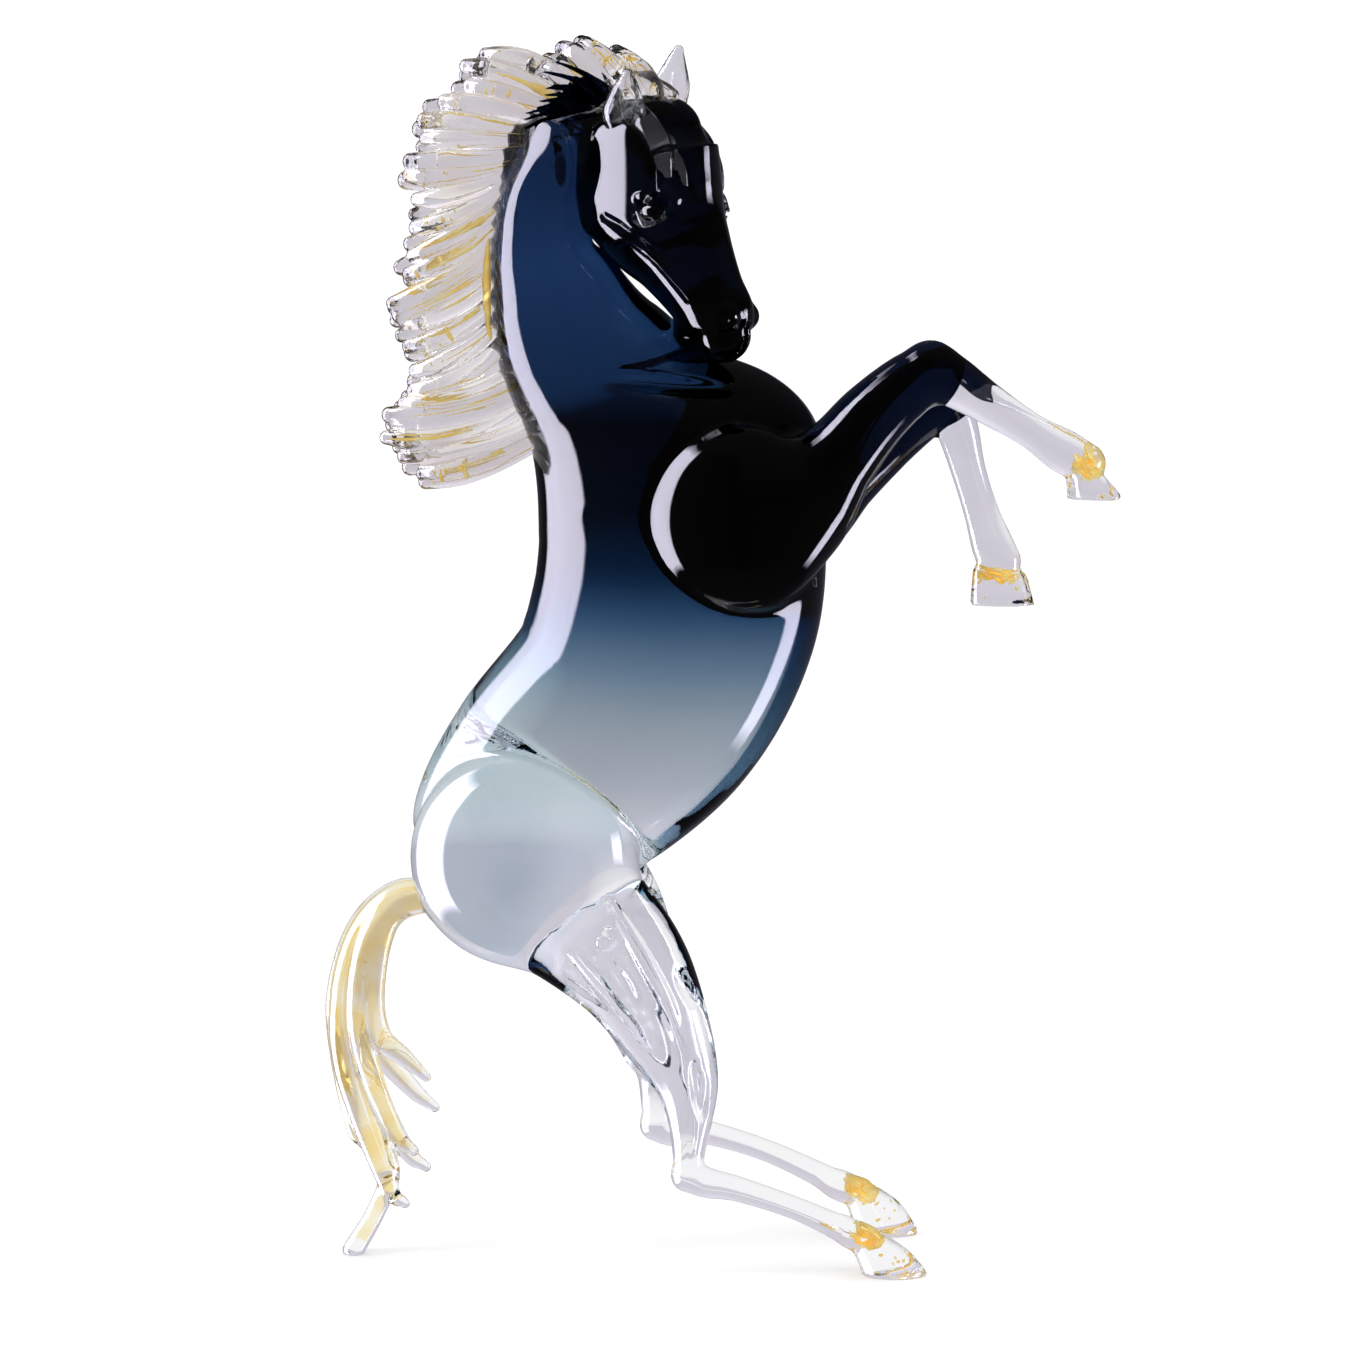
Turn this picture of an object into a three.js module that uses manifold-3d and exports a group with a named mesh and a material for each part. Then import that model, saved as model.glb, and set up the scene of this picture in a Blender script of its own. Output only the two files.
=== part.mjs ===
// Rearing horse figurine in solid hot-worked glass, standing on its hind hooves and the tip of its tail.
// Millimetres, +Z up, nose towards +X. The near side, seen in the usual view, is -Y.
import * as THREE from "three";
import { mergeVertices } from "three/addons/utils/BufferGeometryUtils.js";
import Module from "manifold-3d";

const wasm = await Module();
wasm.setup();

// Driving dimensions
const HEIGHT = 500; // layout height in mm: every station below is in thousandths of it
const HEAD_TURN = 32; // degrees that the head is turned towards the near side
const HIND_SPREAD = 41; // mm from the middle plane to the middle of each hind hoof
const HOOF_LENGTH = 26; // mm, toe to heel
const HOOF_WIDTH = 22; // mm, across
const LOCKS_PER_ROW = 13;

// Carving, which keeps its proportion to the figure
const LOCK_THICKNESS = HEIGHT * 0.024; // a lock of the mane at its fullest
const FORELOCK_THICKNESS = HEIGHT * 0.03; // a lock of the forelock at its fullest
const STRAND_THICKNESS = HEIGHT * 0.022; // a strand of the tail at its fullest
const CREST_WIDTH = HEIGHT * 0.036; // between the outer rows of locks where they leave the neck
const EYE_SIZE = HEIGHT * 0.018; // across the eyeball
const MOUTH_GAP = HEIGHT * 0.0048; // the cut between the lips

const SHARE = HEIGHT / 1000;
const [NEAR, FAR] = [-1, 1];
const SIDEWAYS = new THREE.Vector3(0, 1, 0);
const UPRIGHT = new THREE.Vector3(0, 0, 1);
const POLL = [-68, 0, 905]; // the top of the neck, where the head turns

// A closed mesh as a solid that can be joined and cut
function solid(geometry) {
  const bare = geometry.clone();
  bare.deleteAttribute("normal");
  bare.deleteAttribute("uv");
  const merged = mergeVertices(bare, 1e-5);
  return new wasm.Manifold(new wasm.Mesh({
    numProp: 3,
    vertProperties: new Float32Array(merged.attributes.position.array),
    triVerts: new Uint32Array(merged.index.array),
  }));
}

function fuse(solids) {
  return solids.reduce((whole, next) => whole.add(next));
}

// A limb is a row of oval sections along a smooth path, with round ends. A station is
// [forward, side, up, half width in the plane of the path, half depth across it].
function limb(stations, around, along, capRings = 2) {
  const path = new THREE.CatmullRomCurve3(stations.map(([x, y, z]) => new THREE.Vector3(x, y, z)));
  const girth = new THREE.CatmullRomCurve3(stations.map(([, , , w, d]) => new THREE.Vector3(w, d, 0)));
  const rings = along + 2 * capRings;
  const geometry = new THREE.SphereGeometry(1, around, rings);
  const position = geometry.attributes.position;
  const columns = around + 1;
  for (let ring = 0; ring <= rings; ring += 1) {
    const t = THREE.MathUtils.clamp((ring - capRings) / along, 0, 1);
    const centre = path.getPoint(t);
    const tangent = path.getTangent(t);
    const size = girth.getPoint(t);
    const intoCap = Math.max(capRings - ring, ring - capRings - along, 0) / capRings;
    const angle = intoCap * Math.PI / 2;
    const reach = Math.min(size.x, size.y) * Math.sin(angle) * (t === 0 ? -1 : 1);
    centre.addScaledVector(tangent, intoCap > 0 ? reach : 0);
    const across = SIDEWAYS.clone().addScaledVector(tangent, -tangent.dot(SIDEWAYS)).normalize();
    const inPlane = new THREE.Vector3().crossVectors(across, tangent);
    for (let column = 0; column < columns; column += 1) {
      const turn = 2 * Math.PI * (column % around) / around;
      const point = centre.clone()
        .addScaledVector(inPlane, size.x * Math.cos(angle) * Math.cos(turn))
        .addScaledVector(across, -size.y * Math.cos(angle) * Math.sin(turn));
      position.setXYZ(ring * columns + column, point.x, point.y, point.z);
    }
  }
  return geometry;
}

// The same with stations in thousandths of the height, mirrored for the far side
function share(stations, side = NEAR) {
  return stations.map(([x, y, z, w, d]) => [x, -side * y, z, w, d].map((value) => value * SHARE));
}

function ball([x, y, z], [length, depth, height], around) {
  const geometry = new THREE.SphereGeometry(1, around, Math.round(around * 0.6));
  geometry.rotateX(Math.PI / 2);
  geometry.scale(length * SHARE, depth * SHARE, height * SHARE);
  geometry.translate(x * SHARE, y * SHARE, z * SHARE);
  return geometry;
}

function trunk() {
  return limb(share([
    [-194, 0, 308, 60, 70],
    [-178, 0, 335, 84, 84],
    [-134, 0, 388, 99, 90],
    [-73, 0, 452, 109, 90],
    [-42, 0, 522, 115, 86],
    [-35, 0, 592, 114, 84],
    [-34, 0, 648, 110, 80],
  ]), 18, 10, 3);
}

function neck() {
  return limb(share([
    [-58, 0, 640, 100, 76],
    [-88, 0, 690, 80, 64],
    [-119, 0, 735, 67, 54],
    [-137, 0, 775, 55, 48],
    [-148, 0, 810, 42, 42],
    [-146, 0, 850, 36, 38],
    [-126, 0, 884, 33, 34],
    [-96, 0, 896, 30, 30],
  ]), 14, 9);
}

// Haunch, thigh, cannon and hoof of one hind leg, written for the near side. The far leg stands
// a little further back.
function hindLeg(side) {
  const foot = -HIND_SPREAD / SHARE;
  const back = side === NEAR ? 0 : 26;
  const up = side === NEAR ? 0 : 10;
  const haunch = ball([-162, side * 46, 330], [90, 60, 86], 14);
  const thigh = limb(share([
    [-160, -48, 322, 76, 56],
    [-114, -56, 284, 61, 50],
    [-76 - back * 0.5, -62, 240, 48, 42],
    [-48 - back * 0.8, -68, 190, 36, 33],
    [-33 - back, -73, 154, 26, 25],
    [-30 - back, -78, 124 + up, 18, 19],
    [-31 - back, foot + 3, 98 + up, 13, 16],
    [-31 - back, foot, 82 + up, 12, 15],
  ], side), 12, 9);
  const cannon = limb(share([
    [-32 - back, foot, 80 + up, 13, 15],
    [-16 - back, foot, 74 + up, 12, 14],
    [8 - back, foot, 69 + up * 1.5, 10, 12],
    [50 - back * 0.8, foot, 55 + up * 1.5, 9, 11],
    [82 - back * 0.4, foot, 41 + up, 10, 12],
    [98 - back * 0.2, foot, 33 + up * 0.6, 12, 14],
    [110, foot, 28 + up * 0.6, 12, 14],
  ], side), 8, 7, 1);
  const sole = [133, -side * foot, 0];
  const coronet = [114, -side * foot, 36 + up * 0.6];
  return [solid(haunch), solid(thigh), solid(cannon), hoof(sole, coronet, 28)];
}

function shoulder(side) {
  return solid(ball([8, side * 52, 600], [71, 60, 74], 14));
}

// The near foreleg is held out level and folded at the knee
function nearForeleg() {
  const forearm = limb(share([
    [10, -52, 590, 66, 48],
    [52, -58, 612, 50, 42],
    [86, -60, 648, 33, 33],
    [113, -62, 680, 28, 28],
    [140, -62, 704, 25, 25],
    [160, -62, 714, 24, 24],
  ]), 10, 6);
  const cannon = limb(share([
    [158, -62, 717, 23, 24],
    [178, -62, 707, 20, 21],
    [206, -64, 689, 16, 16],
    [238, -66, 669, 14, 15],
    [262, -68, 654, 17, 17],
    [280, -68, 644, 16, 17],
  ]), 8, 6, 1);
  return [solid(forearm), solid(cannon), hoof([292, -68, 616], [285, -68, 645], 48)];
}

// The far foreleg is held out level with its cannon hanging down
function farForeleg() {
  const forearm = limb(share([
    [8, -52, 590, 66, 48],
    [58, -58, 606, 50, 42],
    [95, -60, 630, 33, 33],
    [126, -62, 656, 28, 28],
    [155, -62, 677, 24, 25],
    [174, -62, 685, 20, 24],
  ], FAR), 10, 6);
  const cannon = limb(share([
    [176, -62, 688, 19, 23],
    [186, -62, 663, 17, 20],
    [195, -62, 630, 14, 16],
    [205, -62, 598, 14, 15],
    [215, -62, 569, 17, 17],
    [221, -62, 556, 17, 17],
  ], FAR), 8, 6, 1);
  return [solid(forearm), solid(cannon), hoof([223, 62, 521], [220, 62, 552], 8)];
}

// A hoof widens from its coronet, tilted back by lean degrees, to a level sole
function hoof(sole, coronet, lean) {
  const low = new THREE.Vector3(...sole).multiplyScalar(SHARE);
  const high = new THREE.Vector3(...coronet).multiplyScalar(SHARE);
  const geometry = new THREE.CylinderGeometry(0.4, 0.5, 1, 12, 1);
  const position = geometry.attributes.position;
  for (let i = 0; i < position.count; i += 1) {
    const up = position.getY(i) + 0.5;
    const tilt = up * radians(lean);
    const along = position.getX(i) * HOOF_LENGTH;
    const centre = low.clone().lerp(high, up);
    position.setXYZ(i,
      centre.x + along * Math.cos(tilt),
      centre.y - position.getZ(i) * HOOF_WIDTH,
      centre.z + along * Math.sin(tilt));
  }
  return solid(geometry);
}

// The head is laid out facing +X, with its poll on the turning axis, then turned to the near side
function onHead(geometry) {
  geometry.rotateZ(-radians(HEAD_TURN));
  return geometry.translate(...POLL.map((value) => value * SHARE));
}

function turnWithHead(point) {
  return new THREE.Vector3(...point).applyAxisAngle(UPRIGHT, -radians(HEAD_TURN)).toArray();
}

function radians(degrees) {
  return degrees * Math.PI / 180;
}

function head() {
  const skull = limb(share([
    [-4, 0, -8, 56, 36],
    [1, 0, -34, 68, 45],
    [19, 0, -70, 57, 44],
    [40, 0, -101, 42, 35],
    [59, 0, -130, 33, 28],
    [71, 0, -150, 31, 26],
    [75, 0, -163, 23, 21],
  ]), 14, 10);
  const parts = [solid(onHead(skull))];
  for (const side of [NEAR, FAR]) {
    const cheek = ball([-8, side * 32, -46], [46, 20, 46], 10);
    const brow = limb(share([
      [14, -42, -50, 5, 5],
      [30, -43, -46, 7, 7],
      [48, -34, -56, 5, 5],
    ], side), 6, 4, 1);
    const eye = new THREE.SphereGeometry(EYE_SIZE / 2, 8, 6)
      .translate(33 * SHARE, side * 39 * SHARE, -62 * SHARE);
    const nostril = ball([88, side * 17, -148], [11, 8, 9], 7);
    parts.push(...[cheek, brow, eye, nostril].map((piece) => solid(onHead(piece))));
  }
  const chin = ball([51, 0, -160], [19, 19, 17], 10);
  parts.push(solid(onHead(chin)));
  let whole = fuse(parts);
  for (const side of [NEAR, FAR]) {
    const lips = limb([[84, -27, -182], [64, -27, -158], [49, -30, -136]]
      .map(([x, y, z]) => [x * SHARE, -side * y * SHARE, z * SHARE, MOUTH_GAP / 2, 10 * SHARE]), 6, 4, 1);
    whole = whole.subtract(solid(onHead(lips)));
  }
  return whole;
}

// Clear ears, pricked up, flat leaves with a thick rim
function ears() {
  const near = limb(share([
    [-84, -26, 905, 14, 8],
    [-82, -26, 922, 15, 8],
    [-80, -26, 938, 9, 6],
    [-79, -26, 946, 4, 4],
  ]), 8, 4, 1);
  const far = limb(share([
    [-46, 22, 922, 13, 8],
    [-44, 24, 940, 14, 8],
    [-41, 25, 958, 8, 6],
    [-39, 25, 967, 4, 4],
  ]), 8, 4, 1);
  return [solid(near), solid(far)];
}

// A lock leaves its root, bows over and thins to a blunt tip. Root, tip and bow are in thousandths.
function lock(root, tip, bow, thickness) {
  const from = new THREE.Vector3(...root);
  const to = new THREE.Vector3(...tip);
  const full = thickness / 2 / SHARE;
  const stations = [0, 0.3, 0.65, 1].map((t) => {
    const point = from.clone().lerp(to, t).addScaledVector(new THREE.Vector3(...bow), 4 * t * (1 - t));
    const girth = full * (1 - 0.55 * t ** 3);
    return [point.x, point.y, point.z, girth, girth * 0.85];
  });
  return solid(limb(share(stations), 6, 3, 1));
}

// Where locks of the mane leave the crest of the neck, and where their tips are, poll to withers
const MANE = [
  [[-48, 920], [-76, 964]],
  [[-70, 926], [-102, 979]],
  [[-92, 928], [-131, 976]],
  [[-110, 924], [-192, 963]],
  [[-134, 914], [-213, 941]],
  [[-150, 904], [-240, 915]],
  [[-164, 890], [-253, 886]],
  [[-172, 874], [-255, 862]],
  [[-178, 856], [-252, 819]],
  [[-181, 834], [-262, 785]],
  [[-183, 808], [-267, 756]],
  [[-184, 778], [-262, 738]],
  [[-182, 744], [-249, 704]],
  [[-177, 706], [-264, 684]],
  [[-170, 692], [-274, 671]],
  [[-162, 668], [-262, 645]],
  [[-156, 650], [-245, 618]],
];

// A point along the crest, end 0, or along the tips, end 1
function maneLine(end, t) {
  const line = MANE.map((pair) => new THREE.Vector3(pair[end][0], 0, pair[end][1]));
  return new THREE.CatmullRomCurve3(line).getPoint(t);
}

// Three rows of locks, one on each side of the crest and one on top, each staggered in length.
// They arch upwards at the poll and sag lower down.
function mane() {
  const locks = [];
  const spread = CREST_WIDTH / 2 / SHARE;
  for (const row of [-1, 0, 1]) {
    for (let i = 0; i < LOCKS_PER_ROW; i += 1) {
      const t = (i + 0.5 + row / 3) / LOCKS_PER_ROW;
      const stagger = ((i * 7 + row * 3 + 9) % 5) / 5;
      const root = maneLine(0, t);
      const reach = maneLine(1, t).sub(root).multiplyScalar(1.03 - 0.16 * stagger);
      const arch = THREE.MathUtils.lerp(0.08, -0.05, THREE.MathUtils.smoothstep(t, 0.2, 0.5));
      const tipSpread = row * spread * (1.4 - 0.6 * stagger);
      locks.push(lock(
        [root.x, row * spread, root.z],
        [root.x + reach.x, tipSpread, root.z + reach.z],
        [reach.z * arch, 0, -reach.x * arch],
        LOCK_THICKNESS * (0.85 + 0.25 * stagger),
      ));
    }
  }
  return locks;
}

// Locks that fall from the poll over the forehead, laid out on the head
function forelock() {
  const fall = [
    [[-30, 4, 18], [60, -12, -54], [14, 0, 8]],
    [[-24, -12, 16], [46, -36, -36], [15, -10, 10]],
    [[-18, 14, 14], [55, 20, -40], [12, 6, 8]],
    [[-34, -6, 26], [34, -6, 26], [0, 0, 6]],
  ];
  const onPoll = (point) => turnWithHead(point).map((value, axis) => value + POLL[axis]);
  return fall.map(([root, tip, bow]) => (
    lock(onPoll(root), onPoll(tip), turnWithHead(bow), FORELOCK_THICKNESS)));
}

// Strands of the tail fall together from the dock, then flick forward one after the other.
// The last one runs on down and gives the figurine its third foot.
function tail() {
  const full = STRAND_THICKNESS / 2 / SHARE;
  const tips = [
    [-242, -10, 146], [-236, 8, 118], [-252, -12, 86], [-243, 4, 70], [-274, 12, 62],
    [-260, -6, 42], [-294, 6, 88],
  ];
  const strands = tips.map(([x, y, z], i) => {
    const inner = 17 - 26 * i / (tips.length - 1);
    const fan = y * 1.1;
    return solid(limb(share([
      [-226, y * 0.4, 292, full * 0.8, full * 0.8],
      [-264, fan * 0.7, 290 - inner * 0.5, full * 0.9, full * 0.9],
      [-290 + inner * 0.6, fan, 262 - inner * 0.3, full, full],
      [-305 + inner, fan, 212, full, full],
      [-301 + inner * 1.2, fan, 160 + (z - 80) * 0.3, full * 0.9, full * 0.9],
      [x - 6 - (x + 300) * 0.2, y, z + 16, full * 0.65, full * 0.65],
      [x, y, z, full * 0.35, full * 0.35],
    ]), 6, 6, 1));
  });
  const last = limb(share([
    [-298, 0, 200, full, full],
    [-298, 0, 150, full, full],
    [-286, 0, 105, full * 0.9, full * 0.9],
    [-273, 0, 66, full * 0.8, full * 0.8],
    [-284, 0, 34, full * 0.7, full * 0.8],
    [-302, 0, 3, full * 0.8, full],
  ]), 6, 6, 1);
  return [...strands, solid(last)];
}

// Everything below the surface that the figurine stands on, to cut its feet flat
function below() {
  const size = 2 * HEIGHT;
  return solid(new THREE.BoxGeometry(size, size, size).translate(0, 0, -size / 2));
}

function build() {
  const body = [solid(trunk()), solid(neck()), head(), ...ears(), ...forelock()];
  const legs = [...hindLeg(NEAR), ...hindLeg(FAR), shoulder(NEAR), shoulder(FAR),
    ...nearForeleg(), ...farForeleg()];
  return outerSkin(fuse([...body, ...legs, ...mane(), ...tail()])).subtract(below());
}

// Bubbles closed in between locks are filled with glass
function outerSkin(whole) {
  return whole.decompose().reduce((most, shell) => (shell.volume() > most.volume() ? shell : most));
}

// A named mesh, moved so that the middle of its underside is the origin
function meshOf(name, whole, material) {
  const { vertProperties, triVerts } = whole.getMesh();
  const geometry = new THREE.BufferGeometry();
  geometry.setAttribute("position", new THREE.BufferAttribute(vertProperties, 3));
  geometry.setIndex(new THREE.BufferAttribute(triVerts, 1));
  geometry.computeBoundingBox();
  const { min, max } = geometry.boundingBox;
  geometry.translate(-(min.x + max.x) / 2, -(min.y + max.y) / 2, -min.z);
  const mesh = new THREE.Mesh(geometry, material);
  mesh.name = name;
  return mesh;
}

const glass = new THREE.MeshStandardMaterial({ color: 0x24466e, roughness: 0.05, metalness: 0 });
const figurine = new THREE.Group();
figurine.add(meshOf("horse", build(), glass));

export default figurine;
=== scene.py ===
"""A rearing horse in solid hot-worked glass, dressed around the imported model."""
import math

import bpy
import numpy as np
import openvdb
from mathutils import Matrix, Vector

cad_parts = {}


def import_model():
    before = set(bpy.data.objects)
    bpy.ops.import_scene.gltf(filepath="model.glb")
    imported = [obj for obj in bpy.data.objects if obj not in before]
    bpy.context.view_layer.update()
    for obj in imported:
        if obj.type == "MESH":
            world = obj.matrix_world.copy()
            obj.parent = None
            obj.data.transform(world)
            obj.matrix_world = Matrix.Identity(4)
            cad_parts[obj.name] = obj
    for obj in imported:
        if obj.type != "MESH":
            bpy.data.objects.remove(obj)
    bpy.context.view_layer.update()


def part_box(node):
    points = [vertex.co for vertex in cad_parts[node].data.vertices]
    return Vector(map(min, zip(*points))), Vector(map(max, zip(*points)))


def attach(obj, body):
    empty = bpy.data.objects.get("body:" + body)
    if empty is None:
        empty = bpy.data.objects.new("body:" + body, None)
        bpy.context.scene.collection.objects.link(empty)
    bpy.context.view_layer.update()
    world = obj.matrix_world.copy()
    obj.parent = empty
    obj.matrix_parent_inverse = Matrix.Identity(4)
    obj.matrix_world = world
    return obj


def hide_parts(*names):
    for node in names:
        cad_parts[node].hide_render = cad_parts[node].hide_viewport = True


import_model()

# Lengths below are in thousandths of the layout height, as the figurine was laid out
HEIGHT = 0.5
SHARE = HEIGHT / 1000
NEAR, FAR = -1, 1
HEAD_TURN = math.radians(32)
POLL = np.array([-68.0, 0.0, 905.0])
HIND_SPREAD = 0.041 / SHARE
HOOF_LENGTH = 0.026 / SHARE
HOOF_WIDTH = 0.022 / SHARE
FORE_TOE = 292 + HOOF_LENGTH / 2

low_corner, high_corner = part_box("horse")
SHIFT = np.array([high_corner[0] - FORE_TOE * SHARE, (low_corner[1] + high_corner[1]) / 2, 0.0])

CHUNK = 60000
BODY_PITCH = 3.4
FINE_PITCH = 2.0


def spline(knots, t):
    """A point, and the way there, on a smooth curve through the knots; t counts knots."""
    ahead = 2 * knots[-1] - knots[-2]
    behind = 2 * knots[0] - knots[1]
    line = np.vstack([behind, knots, ahead])
    i = np.clip(t.astype(int), 0, len(knots) - 2)
    u = (t - i)[:, None]
    a, b, c, d = line[i], line[i + 1], line[i + 2], line[i + 3]
    first, second, third = c - a, 2 * a - 5 * b + 4 * c - d, 3 * b - a - 3 * c + d
    point = 0.5 * (2 * b + first * u + second * u**2 + third * u**3)
    slope = 0.5 * (first + 2 * second * u + 3 * third * u**2)
    return point, slope


def turned(a, b, angle):
    """Two coordinates of a point, in axes turned by the angle from the first towards the second."""
    c, s = math.cos(angle), math.sin(angle)
    return a * c + b * s, b * c - a * s


def ovalness(parts, radii):
    """About how far a point is outside an oval body with these radii."""
    k0 = np.sqrt(sum((p / r) ** 2 for p, r in zip(parts, radii)))
    k1 = np.sqrt(sum((p / r**2) ** 2 for p, r in zip(parts, radii)))
    return k0 * (k0 - 1) / np.maximum(k1, 1e-6)


class Limb:
    """Oval sections along a smooth path. A station is [forward, side, up, half width, half depth]."""

    def __init__(self, stations, side=NEAR, blend=8.0):
        rows = np.array(stations, float)
        rows[:, 1] *= -side
        self.knots = rows[:, :3]
        self.girth = rows[:, 3:5]
        self.blend = blend
        reach = self.girth.max() * 1.15 + 2 * blend
        self.low = self.knots.min(axis=0) - reach
        self.high = self.knots.max(axis=0) + reach
        self.walk = np.linspace(0, len(rows) - 1, 10 * (len(rows) - 1) + 1)
        self.steps = spline(self.knots, self.walk)[0]

    def distance(self, p):
        if len(p) > CHUNK:
            return np.concatenate([self.distance(p[i:i + CHUNK]) for i in range(0, len(p), CHUNK)])
        far = (self.steps**2).sum(axis=1)[None] - 2 * p @ self.steps.T
        t = self.walk[far.argmin(axis=1)]
        for _ in range(3):
            centre, slope = spline(self.knots, t)
            t = t + 0.8 * ((p - centre) * slope).sum(axis=1) / (slope**2).sum(axis=1)
            t = np.clip(t, 0, len(self.knots) - 1)
        centre, slope = spline(self.knots, t)
        along = slope / np.linalg.norm(slope, axis=1)[:, None]
        across = np.array([0.0, 1.0, 0.0]) - along * along[:, 1:2]
        across /= np.linalg.norm(across, axis=1)[:, None]
        in_plane = np.cross(across, along)
        away = p - centre
        girth = np.maximum(spline(self.girth, t)[0], 0.5)
        cap = girth.min(axis=1)
        parts = [(away * in_plane).sum(axis=1), (away * across).sum(axis=1), (away * along).sum(axis=1)]
        return ovalness(parts, [girth[:, 0], girth[:, 1], cap])


class Ball:
    """An oval ball, which may be turned about the upright and then tipped about its side axis."""

    def __init__(self, centre, radii, blend=8.0, tip=0.0, turn=0.0):
        self.centre = np.array(centre, float)
        self.radii = np.array(radii, float)
        self.blend = blend
        self.tip, self.turn = math.radians(tip), math.radians(turn)
        reach = self.radii.max() * 1.1 + 2 * blend
        self.low = self.centre - reach
        self.high = self.centre + reach

    def distance(self, p):
        x, y, z = (p - self.centre).T
        x, y = turned(x, y, self.turn)
        x, z = turned(x, z, self.tip)
        return ovalness([x, y, z], self.radii)


class OnHead:
    """A shape laid out on the head, which is turned to the near side about the poll."""

    def __init__(self, shape):
        self.shape = shape
        self.blend = shape.blend
        self.sign = getattr(shape, "sign", 1)
        middle = (shape.low + shape.high) / 2
        reach = np.linalg.norm((shape.high - shape.low)[:2]) / 2
        centre = head_point(middle)
        half = np.array([reach, reach, (shape.high - shape.low)[2] / 2])
        self.low, self.high = centre - half, centre + half

    def distance(self, p):
        q = p - POLL
        x, y = turned(q[:, 0], q[:, 1], -HEAD_TURN)
        return self.shape.distance(np.stack([x, y, q[:, 2]], axis=1))


def head_point(p):
    """Where a point laid out on the head comes to be, once the head is turned about the poll."""
    x, y = turned(p[0], p[1], HEAD_TURN)
    return POLL + np.array([x, y, p[2]])


def soft_min(a, b, k):
    h = np.clip(0.5 + 0.5 * (b - a) / k, 0, 1)
    return b + (a - b) * h - k * h * (1 - h)


def hollow(shape):
    """The same shape, to be pressed into what comes before it instead of melted on to it."""
    shape.sign = -1
    return shape


class Field:
    """Shapes melted together in order, with hollows pressed in where they come."""

    def __init__(self, shapes, offset=None):
        self.steps = [(shape, getattr(shape, "sign", 1)) for shape in shapes]
        self.low = np.min([shape.low for shape, sign in self.steps if sign > 0], axis=0)
        self.high = np.max([shape.high for shape, sign in self.steps if sign > 0], axis=0)
        self.offset = offset

    def combine(self, value, shape, sign, p):
        distance = shape.distance(p)
        if sign > 0:
            return soft_min(value, distance, shape.blend)
        return -soft_min(-value, distance, shape.blend)

    def __call__(self, p):
        value = np.full(len(p), 60.0)
        for shape, sign in self.steps:
            inside = np.all((p > shape.low) & (p < shape.high), axis=1)
            if inside.any():
                value[inside] = self.combine(value[inside], shape, sign, p[inside])
        return value if self.offset is None else self.offset(p, value)

    def on_grid(self, axes, pitch):
        """The field at every corner of a grid, worked out only where the surface is near."""
        wide = 4
        rough_axes = [a[::wide] for a in axes]
        corners = np.stack(np.meshgrid(*rough_axes, indexing="ij"), axis=-1)
        rough = self(corners.reshape(-1, 3)).reshape(corners.shape[:3])
        value = rough
        for axis, a in enumerate(axes):
            value = np.repeat(value, wide, axis=axis)
            value = value.take(range(len(a)), axis=axis)
        near = np.abs(value) < wide * pitch * 1.8
        spots = np.nonzero(near)
        value[near] = self(np.stack([a[s] for a, s in zip(axes, spots)], axis=1))
        return value

    def slope(self, p, step=0.4):
        moves = np.eye(3) * step
        return np.stack([self(p + m) - self(p - m) for m in moves], axis=1) / (2 * step)


def skin(field, pitch, rounds=3):
    """The field's surface as points and faces, drawn on to the exact surface."""
    axes = [np.arange(lo, hi + pitch, pitch) for lo, hi in zip(field.low, field.high)]
    value = np.clip(field.on_grid(axes, pitch), -4 * pitch, 4 * pitch)
    grid = openvdb.FloatGrid(4 * pitch)
    grid.copyFromArray(value.astype(np.float32))
    points, _, quads = grid.convertToPolygons(isovalue=0.0, adaptivity=0.0)
    points = points.astype(float) * pitch + np.array([a[0] for a in axes])
    start = points.copy()
    for _ in range(rounds):
        slope = field.slope(points)
        pull = field(points) / np.maximum((slope**2).sum(axis=1), 0.05)
        points -= np.clip(pull, -pitch, pitch)[:, None] * slope
    lost = (np.abs(field(points)) > 0.2) | (np.linalg.norm(points - start, axis=1) > 1.5 * pitch)
    points[lost] = start[lost]
    return points, quads


def to_object(name, points, faces, material, slot):
    mesh = bpy.data.meshes.new(name)
    places = points * SHARE + SHIFT
    mesh.from_pydata(places.tolist(), [], faces if isinstance(faces, list) else faces.tolist())
    mesh.polygons.foreach_set("use_smooth", [True] * len(mesh.polygons))
    mesh.materials.append(material)
    mesh.update()
    piece = bpy.data.objects.new(name, mesh)
    bpy.context.scene.collection.objects.link(piece)
    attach(piece, "root")
    return piece


class Hoof:
    """A hoof on a level sole, narrower at the coronet, whose top leans back."""

    def __init__(self, sole, coronet, lean, blend=3.0):
        self.sole = np.array(sole, float)
        self.coronet = np.array(coronet, float)
        self.middle = (self.sole + self.coronet) / 2
        self.lean = math.radians(lean)
        self.blend = blend
        reach = HOOF_LENGTH / 2 + 2 * blend
        self.low = np.minimum(self.sole, self.coronet) - reach
        self.high = np.maximum(self.sole, self.coronet) + reach

    def distance(self, p):
        climb = (p[:, 2] - self.sole[2]) / (self.coronet[2] - self.sole[2])
        middle = self.sole + (self.coronet - self.sole) * climb[:, None]
        size = 0.5 - 0.1 * np.clip(climb, 0, 1.3)
        away = p - middle
        wall = ovalness([away[:, 0], away[:, 1]], [size * HOOF_LENGTH, size * HOOF_WIDTH])
        above = p - self.coronet
        top = above[:, 2] * math.cos(self.lean) + above[:, 0] * math.sin(self.lean)
        under = self.sole[2] - p[:, 2]
        return -soft_min(-np.maximum(wall, under), -top, 8.0)


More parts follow.
